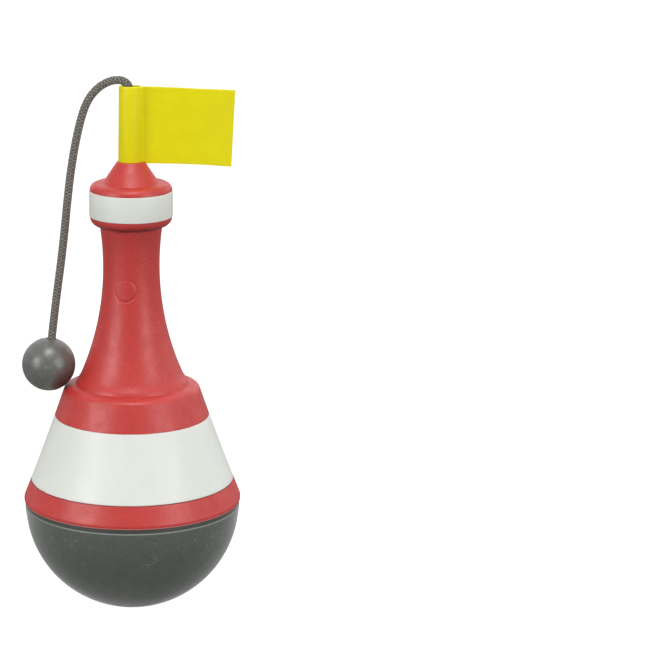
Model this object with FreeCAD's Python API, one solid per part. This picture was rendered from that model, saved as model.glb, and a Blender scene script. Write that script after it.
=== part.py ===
"""Floating treat toy: a small buoy that unscrews into a bowl and a hollow top.

Frame: origin in the middle of the flat foot, +Z up, -Y towards the viewer. The flag
points along +X and the throwing cord hangs on the -X side. All sizes are millimetres.
"""
import FreeCAD, Part
import math
import os

V = FreeCAD.Vector
UP = V(0, 0, 1)
ORIGIN = V(0, 0, 0)

# Fits and clearances
fit_gap = 0.05          # between pieces that are glued or moulded together
slide_gap = 0.1         # radial play of a piece pushed into its seat
turn_gap = 0.3          # radial play of a piece that turns

# Lower shell: a half ball of rubber, cut flat at the foot
foot_radius = 15.5
shell_radius = 59.0
shell_wall = 4.6
shell_floor = 8.5       # thick rubber under the ballast
shell_edge_drop = 0.7   # the ball's edge lies this much below its widest point
lip_height = 1.95       # thin lip above the widest point, seen as a dark line
lip_inset = 0.6         # how far the lip stands back from the half ball
lip_wall = 2.2
lip_round = 0.3
channel_depth = 3.4     # groove for the seal, below the top of the lip

# Bowl liner
liner_wall = 2.0
liner_thread_wall = 2.7
liner_wall_depth = 13.7
ledge_width = 5.1       # ledge between the threaded wall and the cup below it
cup_floor_radius = 18.0
liner_rim_drop = 0.9    # the liner's rim lies this much below the shell's lip
rim_round = 0.5

# Ballast
ballast_radius = 26.0
ballast_thickness = 6.5
ballast_round = 0.8

# Seal ring
seal_width = 2.3
seal_height = 2.5
seal_round = 0.8

# Screw closure, two-start right-hand thread
thread_lead = 11.0
thread_starts = 2
thread_height = 1.5
thread_play = 0.5       # crest to wall
thread_base = 2.4
thread_crest = 1.2
thread_sink = 0.4       # how far the rib's root runs into the wall
ridge_turns = 1.0
ridge_start = 1.3       # first ridge's centre above the neck's end
ridge_first_angle = 30.0
lug_sets = 4
lug_angle = 42.0
lug_first_angle = 75.0

# Treat container
container_wall = 2.2
neck_play = 0.6         # neck's end to the liner's ledge
flange_thickness = 2.1
seal_rib_wall = 1.7
seal_rib_gap = 0.1      # rib to the red lip round it
container_play = 1.4        # between its rounded corner and the red top's cone
container_end_rise = 12.0   # the closed end is a shallow cone
container_round = 20.0

# Float body, from its rim upwards
body_wall = 4.0
rim_overhang = 0.8
rim_wall = 2.0              # red rubber outside the container's flange
rim_skirt_height = 1.7      # nearly upright strip under the cone
rim_skirt_taper = 0.3
rim_ridge_round = 2.5
rim_lip_thickness = 2.0
rim_lip_reach = 1.4         # how far the lip reaches under the container's flange
shoulder_radius = 36.9
belly_height = 62.5
shoulder_round = 3.0
ledge_rise = 0.6
neck_foot_radius = 31.0
neck_waist_radius = 15.4
neck_waist_height = 67.3    # waist above the crease at the neck's foot
neck_height = 89.7
collar_radius = 22.35
collar_head = 3.9           # red rubber above the collar's band
collar_flat = 0.3           # straight bit beside each of the collar's roundings
tip_foot_radius = 15.4
tip_top_radius = 7.5
tip_height = 11.8
tip_foot_round = 1.2
tip_edge_round = 0.4
crown_thickness = 22.5      # solid rubber between the hollow and the tip's top
hollow_top_radius = 11.5

# White bands
band_thickness = 1.5
belly_band_start = 10.2     # above the widest point of the rim
belly_band_height = 36.35
collar_band_start = 5.3     # above the collar's underside
collar_band_height = 14.1
collar_band_proud = 0.3
collar_band_round = 0.3

# Cord and what is on it
cord_radius = 2.25
cord_bore_gap = 0.35
washer_radius = 9.0
washer_thickness = 1.2
knot_radius = 5.0
knot_height = 9.0
knot_tail = 7.0
knot_round = 2.2
knot_tail_round = 0.6
ball_radius = 14.4
ball_seat = 0.3             # how far the cord's end lies below the ball's surface
ball_knot_radius = 4.4

# Flag
flag_tube_radius = 6.5
flag_tube_height = 41.6
flag_foot_round = 0.4
mouth_wall = 1.5            # tube wall at its flared mouth
mouth_depth = 8.6
plate_thickness = 2.4
plate_reach = 56.0          # free corner at the top, from the cord's axis
plate_heel = 1.5            # the bottom corner lies this much nearer
plate_top_drop = 0.5        # plate below the tube's top, beside the tube
plate_top_fall = 1.4        # further fall of the top edge along the plate
plate_fall_share = 0.64     # share of the reach where the top edge stops falling
plate_foot_drop = 0.8       # plate below the tube's foot, beside the tip
plate_foot_fall = 1.0
plate_corner_round = 0.6
plate_wave = 1.4            # bulge to the back in the middle
plate_curl = 5.2            # free end towards the front
plate_stations = 6

# Route of the free cord: x and z of each point, chosen by hand, all at y = 0
cord_route = [
    (0.0, 283.75),
    (0.0, 289.05),
    (-3.75, 292.8),
    (-9.2, 292.9),
    (-14.2, 290.9),
    (-18.9, 287.3),
    (-23.6, 281.0),
    (-27.2, 270.2),
    (-30.7, 253.9),
    (-33.6, 234.5),
    (-37.0, 200.8),
    (-41.6, 168.2),
    (-43.75, 149.4),
]
arc_share = 0.45            # share of the shorter run that each arc takes

# Heights and radii worked out from the sizes above
shell_centre_z = math.sqrt(shell_radius ** 2 - foot_radius ** 2)
lip_top_z = shell_centre_z + lip_height
lip_outer = shell_radius - lip_inset
lip_inner = lip_outer - lip_wall
channel_z = lip_top_z - channel_depth

seal_outer = lip_inner - turn_gap
seal_inner = seal_outer - seal_width
seal_top_z = channel_z + seal_height

liner_outer = seal_inner - turn_gap
liner_bore = liner_outer - liner_thread_wall
liner_top_z = lip_top_z - liner_rim_drop
ledge_z = liner_top_z - liner_wall_depth
cup_mouth = liner_bore - ledge_width
cup_floor_z = shell_floor + ballast_thickness + liner_wall
cup_centre_z = ((cup_mouth ** 2 + ledge_z ** 2 - cup_floor_radius ** 2 - cup_floor_z ** 2)
                / (2 * (ledge_z - cup_floor_z)))
cup_sphere = math.hypot(cup_mouth, cup_centre_z - ledge_z)

thread_pitch = thread_lead / thread_starts
neck_root = liner_bore - thread_play - thread_height
neck_bore = neck_root - container_wall
neck_end_z = ledge_z + neck_play
ridge_low_z = neck_end_z + ridge_start

flange_z = lip_top_z + rim_lip_thickness
flange_radius = shell_radius - rim_wall - slide_gap
rim_lip_inner = flange_radius - rim_lip_reach
rib_outer = rim_lip_inner - seal_rib_gap
rib_inner = rib_outer - seal_rib_wall

rim_radius = shell_radius + rim_overhang
rim_z = lip_top_z + rim_skirt_height
shoulder_z = rim_z + belly_height
belly_slope = (rim_radius - shoulder_radius) / belly_height
cone_wall = body_wall * math.sqrt(1 + belly_slope ** 2)
crease_z = shoulder_z + ledge_rise
neck_rise = neck_foot_radius - neck_waist_radius
neck_arc = (neck_rise ** 2 + neck_waist_height ** 2) / (2 * neck_rise)
neck_arc_r = neck_waist_radius + neck_arc
neck_waist_z = crease_z + neck_waist_height
collar_z = crease_z + neck_height
collar_top_z = collar_z + collar_band_start + collar_band_height + collar_head
tip_z = collar_top_z + tip_height
crown_z = tip_z - crown_thickness
cord_bore = cord_radius + cord_bore_gap


def circle_reach(radius, height):
    """Half width of a circle at a height above or below its centre."""
    return math.sqrt(radius ** 2 - height ** 2)


def belly_r(z):
    """Radius of the belly's cone at height z."""
    return rim_radius - belly_slope * (z - rim_z)


def neck_r(z, wall=0.0):
    """Radius of the hollow-sided neck at height z, or of its inner face."""
    return neck_arc_r - circle_reach(neck_arc + wall, z - neck_waist_z)


def corner_arc(before, corner, after, radius):
    """Start, middle and end of an arc that rounds a corner between two lines."""
    back = (before - corner).normalize()
    ahead = (after - corner).normalize()
    half = back.getAngle(ahead) / 2
    inward = (back + ahead).normalize()
    reach = radius / math.tan(half)
    middle = corner + inward * (radius / math.sin(half) - radius)
    return corner + back * reach, middle, corner + ahead * reach


def bow(r, z):
    """Marks a point that the arc between its two neighbours passes through."""
    return ("bow", r, z)


def outline_face(corners):
    """Face in the r-z plane. A corner is (r, z) or (r, z, rounding)."""
    places = []
    for corner in corners:
        is_bow = corner[0] == "bow"
        r, z = corner[1:3] if is_bow else corner[:2]
        rounding = corner[2] if len(corner) == 3 and not is_bow else 0.0
        places.append((V(r, 0, z), is_bow, rounding))
    count = len(places)
    edges = []
    entry = {}
    leave = {}
    for i, (point, is_bow, rounding) in enumerate(places):
        entry[i] = leave[i] = point
        if rounding > 0:
            before = places[i - 1][0]
            after = places[(i + 1) % count][0]
            start, middle, end = corner_arc(before, point, after, rounding)
            entry[i], leave[i] = start, end
            edges.append(Part.Arc(start, middle, end).toShape())
    for i in range(count):
        if places[i][1]:
            continue
        following = (i + 1) % count
        if places[following][1]:
            last = (i + 2) % count
            edges.append(Part.Arc(leave[i], places[following][0], entry[last]).toShape())
        elif (entry[following] - leave[i]).Length > 1e-6:
            edges.append(Part.LineSegment(leave[i], entry[following]).toShape())
    return Part.Face(Part.Wire(Part.__sortEdges__(edges)))


def turned(corners):
    """Solid of revolution about the toy's axis."""
    return outline_face(corners).revolve(ORIGIN, UP, 360)


def helix_rib(radius, outward, centre_z, start_angle, turn):
    """Trapezoid rib that climbs round a wall of the given radius."""
    side = 1 if outward else -1
    root = radius - side * thread_sink
    crest = radius + side * thread_height
    root_half = thread_base / 2 + thread_sink * (thread_base - thread_crest) / (2 * thread_height)
    crest_half = thread_crest / 2
    section = Part.makePolygon([
        V(root, 0, -root_half), V(crest, 0, -crest_half),
        V(crest, 0, crest_half), V(root, 0, root_half), V(root, 0, -root_half)])
    path = Part.makeHelix(thread_lead, thread_lead * turn / 360, radius)
    rib = Part.Wire(path).makePipeShell([section], True, True)
    rib.rotate(ORIGIN, UP, start_angle)
    rib.translate(V(0, 0, centre_z))
    return rib


def lower_shell():
    """Rubber half ball with a flat foot, a seat for the liner and a lip round the seal."""
    inner = shell_radius - shell_wall
    edge_z = shell_centre_z - shell_edge_drop
    ball_low = -shell_centre_z / 2
    seat_z = ledge_z - liner_wall
    bore = liner_outer + slide_gap
    pocket = ballast_radius + slide_gap
    pocket_z = shell_centre_z - circle_reach(inner, pocket)
    seat_r = circle_reach(inner, seat_z - shell_centre_z)
    middle_z = (pocket_z + seat_z) / 2
    return turned([
        (0, 0),
        (foot_radius, 0),
        bow(circle_reach(shell_radius, ball_low), shell_centre_z + ball_low),
        (circle_reach(shell_radius, shell_edge_drop), edge_z),
        (lip_outer, edge_z),
        (lip_outer, lip_top_z, lip_round),
        (lip_inner, lip_top_z, lip_round),
        (lip_inner, channel_z),
        (bore, channel_z),
        (bore, seat_z),
        (seat_r, seat_z),
        bow(circle_reach(inner, middle_z - shell_centre_z), middle_z),
        (pocket, pocket_z),
        (pocket, shell_floor),
        (0, shell_floor),
    ])


def lug_heights(angle):
    """Centre heights of the lugs whose middle lies at this angle."""
    climb = thread_lead * lug_angle / 360
    rest = (climb + thread_base) / 2
    offset = ridge_low_z + thread_pitch / 2 + thread_lead * (angle - ridge_first_angle) / 360
    low = ledge_z + rest
    high = liner_top_z - rim_round - rest
    height = offset - math.floor((offset - low) / thread_pitch) * thread_pitch
    heights = []
    while height <= high:
        heights.append(height)
        height += thread_pitch
    return heights


def bowl_liner():
    """Plastic bowl: threaded wall, ledge, and a rounded cup for the treats."""
    under = cup_sphere + liner_wall
    floor_under_z = cup_floor_z - liner_wall
    seat_z = ledge_z - liner_wall
    cup_middle_z = (cup_floor_z + ledge_z) / 2
    under_middle_z = cup_middle_z - liner_wall
    liner = turned([
        (0, cup_floor_z),
        (circle_reach(cup_sphere, cup_centre_z - cup_floor_z), cup_floor_z),
        bow(circle_reach(cup_sphere, cup_centre_z - cup_middle_z), cup_middle_z),
        (cup_mouth, ledge_z),
        (liner_bore, ledge_z, rim_round),
        (liner_bore, liner_top_z, rim_round),
        (liner_outer, liner_top_z, rim_round),
        (liner_outer, seat_z),
        (circle_reach(under, cup_centre_z - seat_z), seat_z),
        bow(circle_reach(under, cup_centre_z - under_middle_z), under_middle_z),
        (circle_reach(under, cup_centre_z - floor_under_z), floor_under_z),
        (0, floor_under_z),
    ])
    for k in range(lug_sets):
        middle = lug_first_angle + 360 * k / lug_sets
        start = middle - lug_angle / 2
        for height in lug_heights(middle):
            foot = height - thread_lead * lug_angle / 720
            liner = liner.fuse(helix_rib(liner_bore, False, foot, start, lug_angle))
    return liner


def ballast_weight():
    """Steel disc clamped between the rubber floor and the liner."""
    return turned([
        (0, shell_floor),
        (ballast_radius, shell_floor, ballast_round),
        (ballast_radius, shell_floor + ballast_thickness, ballast_round),
        (0, shell_floor + ballast_thickness),
    ])


def seal_ring():
    """Soft ring that the container's rib presses on."""
    return turned([
        (seal_inner, channel_z),
        (seal_outer, channel_z),
        (seal_outer, seal_top_z, seal_round),
        (seal_inner, seal_top_z, seal_round),
    ])


def float_body():
    """Hollow red rubber top, from the rim to the tip."""
    roof_z = crease_z - body_wall
    flange_top_z = flange_z + flange_thickness + slide_gap
    groove = flange_radius + slide_gap
    band_low = rim_z + belly_band_start - fit_gap
    band_high = band_low + belly_band_height + 2 * fit_gap
    band_depth = band_thickness + fit_gap
    ring_low = collar_z + collar_band_start - fit_gap
    ring_high = ring_low + collar_band_height + 2 * fit_gap
    ring_r = collar_radius + collar_band_proud - band_thickness - fit_gap
    foot_round = min(collar_band_start, collar_radius - neck_r(collar_z)) - collar_flat
    top_round = min(collar_head, collar_radius - tip_foot_radius - tip_foot_round) - collar_flat
    neck_middle_z = (crease_z + collar_z) / 2
    hollow_middle_z = (roof_z + collar_z) / 2
    return turned([
        (rim_lip_inner, lip_top_z),
        (rim_radius - rim_skirt_taper, lip_top_z),
        (rim_radius, rim_z, rim_ridge_round),
        (belly_r(band_low), band_low),
        (belly_r(band_low) - band_depth, band_low),
        (belly_r(band_high) - band_depth, band_high),
        (belly_r(band_high), band_high),
        (shoulder_radius, shoulder_z, shoulder_round),
        (neck_foot_radius, crease_z),
        bow(neck_r(neck_middle_z), neck_middle_z),
        (neck_r(collar_z), collar_z),
        (collar_radius, collar_z, foot_round),
        (collar_radius, ring_low),
        (ring_r, ring_low),
        (ring_r, ring_high),
        (collar_radius, ring_high),
        (collar_radius, collar_top_z, top_round),
        (tip_foot_radius, collar_top_z, tip_foot_round),
        (tip_top_radius, tip_z, tip_edge_round),
        (cord_bore, tip_z),
        (cord_bore, crown_z),
        (hollow_top_radius, crown_z),
        (neck_r(collar_z, body_wall), collar_z),
        bow(neck_r(hollow_middle_z, body_wall), hollow_middle_z),
        (neck_r(roof_z, body_wall), roof_z),
        (belly_r(roof_z) - cone_wall, roof_z),
        (belly_r(flange_top_z) - cone_wall, flange_top_z),
        (groove, flange_top_z),
        (groove, flange_z),
        (rim_lip_inner, flange_z),
    ])


def belly_band():
    """Wide white band, flush with the belly's cone."""
    low = rim_z + belly_band_start
    high = low + belly_band_height
    return turned([
        (belly_r(low) - band_thickness, low),
        (belly_r(low), low),
        (belly_r(high), high),
        (belly_r(high) - band_thickness, high),
    ])


def collar_band():
    """Narrow white band that stands slightly proud of the collar."""
    low = collar_z + collar_band_start
    high = low + collar_band_height
    outer = collar_radius + collar_band_proud
    return turned([
        (outer - band_thickness, low),
        (outer, low, collar_band_round),
        (outer, high, collar_band_round),
        (outer - band_thickness, high),
    ])


def container_corner_z():
    """Height of the closed end's corner, so that its rounding clears the cone."""
    round_r = neck_root - container_round
    clear_r = round_r + (container_round + container_play) * cone_wall / body_wall
    round_z = rim_z + (rim_radius - cone_wall - clear_r) / belly_slope
    half_corner = (math.pi / 2 + math.atan(container_end_rise / neck_root)) / 2
    return round_z + container_round / math.tan(half_corner)


def treat_container():
    """Plastic container with the threaded neck, the sealing rib and a closed end."""
    outer = neck_root
    corner_z = container_corner_z()
    end_z = corner_z + container_end_rise
    slope = container_end_rise / outer
    inner_end_z = end_z - container_wall * math.sqrt(1 + slope ** 2)
    body = turned([
        (neck_bore, neck_end_z),
        (outer, neck_end_z, rim_round),
        (outer, flange_z),
        (rib_inner, flange_z),
        (rib_inner, seal_top_z),
        (rib_outer, seal_top_z),
        (rib_outer, flange_z),
        (flange_radius, flange_z),
        (flange_radius, flange_z + flange_thickness),
        (outer, flange_z + flange_thickness),
        (outer, corner_z, container_round),
        (0, end_z),
        (0, inner_end_z),
        (neck_bore, inner_end_z - slope * neck_bore, container_round - container_wall),
    ])
    for start in range(thread_starts):
        angle = ridge_first_angle + 360 * start / thread_starts
        body = body.fuse(helix_rib(neck_root, True, ridge_low_z, angle, 360 * ridge_turns))
    return body


def knot_washer():
    """Washer under the solid crown, for the knot to bear on."""
    return turned([
        (cord_bore, crown_z - washer_thickness),
        (washer_radius, crown_z - washer_thickness),
        (washer_radius, crown_z),
        (cord_bore, crown_z),
    ])


def cord_points():
    return [V(x, 0, z) for x, z in cord_route]


def throw_cord():
    """Free cord: straight runs joined by arcs, from the tube's mouth to the ball."""
    points = cord_points()
    edges = []
    radii = []
    here = points[0]
    for before, corner, after in zip(points, points[1:], points[2:]):
        back = before - corner
        ahead = after - corner
        half_turn = (math.pi - back.getAngle(ahead)) / 2
        reach = arc_share * min(back.Length, ahead.Length)
        radius = reach / math.tan(half_turn)
        start, middle, end = corner_arc(before, corner, after, radius)
        edges.append(Part.LineSegment(here, start).toShape())
        edges.append(Part.Arc(start, middle, end).toShape())
        radii.append(radius)
        here = end
    edges.append(Part.LineSegment(here, points[-1]).toShape())
    path = Part.Wire(edges)
    length = path.Length
    section = Part.Wire(Part.makeCircle(cord_radius, points[0], points[1] - points[0]))
    tube = path.makePipeShell([section], True, False)
    print("cord radii", [round(radius, 1) for radius in radii])
    print("cord length %.1f, volume %.1f, section x length %.1f"
          % (length, tube.Volume, math.pi * cord_radius ** 2 * length))
    return tube


def cord_core():
    """Straight cord from the knot up to the tube's mouth."""
    top = cord_points()[0].z
    low = crown_z - washer_thickness
    return Part.makeCylinder(cord_radius, top - low, V(0, 0, low))


def neck_knot():
    """Stopper knot with its short tail, below the washer."""
    top = crown_z - washer_thickness
    low = top - knot_height
    return turned([
        (0, top),
        (knot_radius, top, knot_round),
        (knot_radius, low, knot_round),
        (cord_radius, low),
        (cord_radius, low - knot_tail, knot_tail_round),
        (0, low - knot_tail),
    ])


def ball_place():
    """Where the cord ends, and the ball's centre straight ahead of it."""
    end = cord_points()[-1]
    ahead = (end - cord_points()[-2]).normalize()
    return end, ahead, end + ahead * (ball_radius - ball_seat)


def ball_knot():
    """Knot at the end of the cord, inside the ball."""
    end, ahead, centre = ball_place()
    stub = Part.makeCylinder(cord_radius, (centre - end).Length, end, ahead)
    return stub.fuse(Part.makeSphere(ball_knot_radius, centre)).removeSplitter()


def end_ball():
    """Rubber ball moulded round the knot."""
    end, ahead, centre = ball_place()
    ball = Part.makeSphere(ball_radius, centre)
    hole = Part.makeCylinder(cord_radius + fit_gap, 2 * ball_radius, centre, ahead * -1)
    pocket = Part.makeSphere(ball_knot_radius + fit_gap, centre)
    return ball.cut(hole).cut(pocket)


def plate_y(x):
    """How far the flag's middle surface lies behind the axis at x."""
    share = (x - flag_tube_radius) / (plate_reach - flag_tube_radius)
    share = max(share, 0.0)
    return plate_wave * math.sin(math.pi * share) - plate_curl * share ** 2


def flag_plate():
    """Waved sheet, cut to the flag's outline."""
    sheet_reach = plate_reach + plate_thickness
    stations = [sheet_reach * k / plate_stations for k in range(plate_stations + 1)]
    front = Part.BSplineCurve()
    front.interpolate([V(x, plate_y(x) - plate_thickness / 2, 0) for x in stations])
    rear = Part.BSplineCurve()
    rear.interpolate([V(x, plate_y(x) + plate_thickness / 2, 0) for x in stations])
    near = Part.LineSegment(rear.StartPoint, front.StartPoint)
    far = Part.LineSegment(front.EndPoint, rear.EndPoint)
    band = Part.Face(Part.Wire([front.toShape(), far.toShape(), rear.toShape(), near.toShape()]))
    sheet = band.extrude(UP * (3 * flag_tube_height))
    sheet.translate(V(0, 0, tip_z - flag_tube_height))
    top = tip_z + flag_tube_height - plate_top_drop
    foot = tip_z - plate_foot_drop
    heel = tip_top_radius + (tip_foot_radius - tip_top_radius) * plate_foot_drop / tip_height
    heel += turn_gap
    cutter = outline_face([
        (0, tip_z),
        (heel, tip_z),
        (heel, foot),
        (plate_reach - plate_heel, foot - plate_foot_fall, plate_corner_round),
        (plate_reach, top - plate_top_fall, plate_corner_round),
        (plate_reach * plate_fall_share, top - plate_top_fall),
        (0, top),
    ])
    depth = plate_curl + plate_wave + plate_thickness
    prism = cutter.extrude(V(0, 2 * depth, 0))
    prism.translate(V(0, -depth, 0))
    return sheet.common(prism)


def flag():
    """Yellow flag: a tube on the cord with a flared mouth, and its plate."""
    top = tip_z + flag_tube_height
    lip = mouth_wall / 2
    mouth = flag_tube_radius - mouth_wall
    tube = turned([
        (0, tip_z),
        (flag_tube_radius, tip_z, flag_foot_round),
        (flag_tube_radius, top - lip),
        bow(flag_tube_radius - lip, top),
        (mouth, top - lip),
        (0, top - lip),
    ])
    bore = turned([
        (0, tip_z - 1),
        (cord_bore, tip_z - 1),
        (cord_bore, top - mouth_depth),
        (mouth, top - lip),
        (mouth, top + 1),
        (0, top + 1),
    ])
    tube.rotate(ORIGIN, UP, 180)
    bore.rotate(ORIGIN, UP, 180)
    return tube.fuse(flag_plate()).cut(bore)


PARTS = {
    "lower_shell": lower_shell,
    "bowl_liner": bowl_liner,
    "ballast_weight": ballast_weight,
    "seal_ring": seal_ring,
    "float_body": float_body,
    "belly_band": belly_band,
    "collar_band": collar_band,
    "treat_container": treat_container,
    "knot_washer": knot_washer,
    "throw_cord": throw_cord,
    "cord_core": cord_core,
    "neck_knot": neck_knot,
    "end_ball": end_ball,
    "ball_knot": ball_knot,
    "flag": flag,
}

os.makedirs("parts", exist_ok=True)
for name, make in PARTS.items():
    shape = make()
    shape.exportStep("parts/%s.step" % name)
    box = shape.BoundBox
    print("%-16s valid %s solids %d volume %9.1f z %.2f..%.2f x %.2f..%.2f"
          % (name, shape.isValid(), len(shape.Solids), shape.Volume,
             box.ZMin, box.ZMax, box.XMin, box.XMax))
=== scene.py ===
"""Looks of the floating treat toy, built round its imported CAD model.

Frame: metres, origin in the middle of the flat foot, +Z up, -Y towards the viewer.
The flag points along +X and the throwing cord hangs on the -X side.
"""
import math

import bmesh
import bpy
from mathutils import Matrix, Vector


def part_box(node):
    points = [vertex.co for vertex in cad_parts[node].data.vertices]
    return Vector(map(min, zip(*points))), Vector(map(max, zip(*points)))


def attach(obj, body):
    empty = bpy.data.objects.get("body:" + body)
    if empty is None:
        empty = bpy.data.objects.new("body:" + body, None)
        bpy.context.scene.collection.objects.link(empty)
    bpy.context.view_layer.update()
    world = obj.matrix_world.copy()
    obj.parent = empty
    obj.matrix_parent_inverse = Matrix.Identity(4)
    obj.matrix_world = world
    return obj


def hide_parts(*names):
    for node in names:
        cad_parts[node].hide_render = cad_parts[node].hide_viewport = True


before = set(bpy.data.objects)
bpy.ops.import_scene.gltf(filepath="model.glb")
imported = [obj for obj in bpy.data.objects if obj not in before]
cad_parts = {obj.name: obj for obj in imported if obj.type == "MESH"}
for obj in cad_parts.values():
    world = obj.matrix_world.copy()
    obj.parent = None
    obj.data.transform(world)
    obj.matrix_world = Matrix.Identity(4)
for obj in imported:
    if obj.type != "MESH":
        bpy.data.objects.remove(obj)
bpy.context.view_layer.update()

mm = 0.001
mm_per_metre = 1000.0
tiny = 1e-6                     # a length that counts as none
weld_distance = 1e-7            # vertices closer than this are one
UP = Vector((0, 0, 1))

# Camera, fitted to the photograph
camera_place = Vector((0.0, -1.628, 0.5651))
camera_pitch = math.radians(14.219)     # looks down
camera_turn = math.radians(3.753)       # to the right, about the camera's own upright
camera_roll = math.radians(-0.30)
camera_lens = 165.7
camera_sensor = 36.0
camera_near = 0.1
camera_far = 20.0

# Sizes. Those of the main forms are the same as in part.py
foot_radius = 15.5 * mm
shell_radius = 59.0 * mm
shell_wall = 4.6 * mm
shell_floor = 8.5 * mm
shell_edge_drop = 0.7 * mm
shell_edge_round = 0.5 * mm
lip_height = 1.95 * mm
edge_flare = 0.35 * mm          # the bowl widens a little towards its edge
edge_flare_depth = 9.0 * mm
lip_inset = 0.1 * mm
lip_wall = 2.7 * mm
lip_round = 0.3 * mm
channel_depth = 3.4 * mm
seat_z = 42.28 * mm             # underside of the liner's ledge
liner_bore = 53.4 * mm
pocket_radius = 26.1 * mm
rim_overhang = 0.8 * mm
rim_skirt_height = 1.7 * mm
rim_skirt_taper = 0.15 * mm
rim_ridge_round = 2.5 * mm
rim_foot_round = 0.3 * mm
rim_lip_thickness = 2.0 * mm
rim_lip_inner = 55.5 * mm
flange_groove = 57.0 * mm
flange_groove_height = 2.2 * mm
body_wall = 4.0 * mm
belly_height = 62.5 * mm
shoulder_radius = 36.9 * mm
shoulder_round = 3.0 * mm
ledge_rise = 0.6 * mm
belly_hollow = 0.45 * mm
neck_foot_radius = 31.0 * mm
neck_waist_radius = 15.4 * mm
neck_bead = 0.65 * mm           # soft swelling round the neck's foot
neck_bead_height = 2.4 * mm
neck_bead_width = 2.6 * mm
crease_lift = 0.9 * mm          # the ledge is crowned
ledge_round = 3.0 * mm
ledge_reach = 0.8 * mm          # from the neck's foot to the ledge's inner edge
neck_clear = 0.3 * mm           # the neck's rows start this much above the ledge
neck_waist_height = 67.3 * mm
neck_height = 89.7 * mm
collar_radius = 22.35 * mm
collar_height = 23.3 * mm
collar_foot_round = 5.0 * mm
collar_top_round = 3.6 * mm
tip_foot_radius = 15.4 * mm
tip_top_radius = 7.5 * mm
tip_foot_round = 1.2 * mm
tip_edge_round = 0.4 * mm
crown_thickness = 22.5 * mm
hollow_top_radius = 11.5 * mm
cord_bore = 2.6 * mm
fit_gap = 0.05 * mm
band_thickness = 1.5 * mm
band_proud = 0.3 * mm
band_edge_round = 0.3 * mm
band_foot_round = 0.2 * mm
band_groove = 0.2 * mm          # open joint along the belly band's lower edge
recess_round = 0.12 * mm        # edges of the belly band's recess
ring_recess_round = 0.1 * mm    # and of the collar band's
cord_radius = 2.25 * mm
flag_tube_radius = 6.5 * mm
flag_mouth_wall = 1.5 * mm
flag_mouth_depth = 8.6 * mm
flag_foot_round = 0.4 * mm
funnel_drop = 1.6 * mm          # the mouth narrows like a funnel from here down to the bore
funnel_inset = 0.15 * mm
funnel_foot_rise = 0.8 * mm
funnel_foot_inset = 0.3 * mm
mouth_slant = 0.9 * mm          # the mouth's rear rim is this much lower
mouth_slant_reach = 6.0 * mm
flag_lean = (-0.3 * mm, 0.2 * mm)       # to the right, at the tube's foot and at its mouth
plate_thickness = 2.4 * mm
plate_reach = 56.0 * mm
plate_heel = 1.5 * mm
plate_top_drop = 0.5 * mm
plate_top_fall = 1.4 * mm
plate_fall_share = 0.64
plate_foot_drop = 0.8 * mm
plate_foot_fall = 1.0 * mm
plate_corner_round = 0.5 * mm
plate_edge_round = 0.35 * mm
plate_root = 5.75 * mm          # inside the tube's wall
plate_step = 8.25 * mm          # past the tip's edge, where the plate's foot steps down
plate_clear = 0.02 * mm         # over the tip
root_fillet = 0.9 * mm          # between the plate and the tube
plate_wave = 1.4 * mm
plate_curl = 5.2 * mm
ball_hole = 2.3 * mm
ball_pocket = 4.45 * mm
ball_mouth_round = 0.5 * mm
ball_growth = 0.2 * mm          # wider than in CAD, and a little higher, as in the photograph
ball_shift = Vector((-0.1, 0.0, 0.25)) * mm
ball_shade_reach = 0.7              # of its radius: how far in and down from its middle the painted shade on the ball lies

# The ball's two halves meet in a fine seam on a plane through the cord
ball_seam_angle = math.radians(-32.0)
ball_seam_height = 0.07 * mm
ball_seam_width = 0.35 * mm

# The round mark that a mould's pin left on the neck
mark_height = 0.180
mark_angle = math.radians(-102.0)
mark_radius = 6.0 * mm
mark_groove = 0.5 * mm
mark_depth = 0.5 * mm           # at its lower right, where it is deepest
mark_fine_half = math.radians(26.0)     # the mesh is finer this far to each side of it
mark_fine_step = math.radians(1.2)

# Thin flash that the mould left under the collar, left of the middle
flash_angle = math.radians(-107.0)
flash_half_width = math.radians(13.0)
flash_drop = 0.9 * mm           # below the collar's underside
flash_height = 1.2 * mm
flash_thickness = 0.35 * mm
flash_reach = 2.4 * mm          # nothing moves lower than this under the collar

# How finely the meshes are divided
turned_steps = 224              # round the bowl and the bands
float_steps = 200               # round the red top, away from the mark
tube_steps = 96
bowl_rows = 72
inner_rows = 24                 # of the bowl's and the neck's inner faces
fine_row = 0.3 * mm             # of the neck near the mark, the foot and the collar
plain_row = 1.1 * mm
last_row_gap = 0.2 * mm         # the rows end at least this much below the collar
mark_zone = 1.4 * mark_radius   # how far the fine rows reach from each of the three
collar_zone = 3.0 * mm
foot_zone = 7.0 * mm
ball_rows = 60
pocket_rows = 14
ball_half_steps = 48            # round half the ball
seam_steps = (0.4, 0.8, 1.2, 1.8)       # degrees to each side of the seam
plate_rows = 40
plate_columns = 44
corner_columns = 6
root_columns = 9
plate_main = 9.0 * mm           # from here on the plate is evenly divided
skin_depth = 0.5 * mm           # vertices deeper than this belong to inner faces
sharp_angle = math.radians(32)  # between faces; sharper edges stay crisp
rim_angle = math.radians(50)    # edges of the plate that are bevelled

# Places taken from the frame
lip_top_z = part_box("lower_shell")[1].z
shell_centre_z = lip_top_z - lip_height
belly_band_low, belly_band_high = (corner.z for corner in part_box("belly_band"))
collar_band_low, collar_band_high = (corner.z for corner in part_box("collar_band"))
tip_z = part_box("float_body")[1].z
flag_top_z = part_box("flag")[1].z
ball_low, ball_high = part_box("end_ball")
ball_radius = (ball_high.x - ball_low.x) / 2
ball_centre = Vector(((ball_low.x + ball_high.x) / 2, 0.0, ball_low.z + ball_radius))

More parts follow.
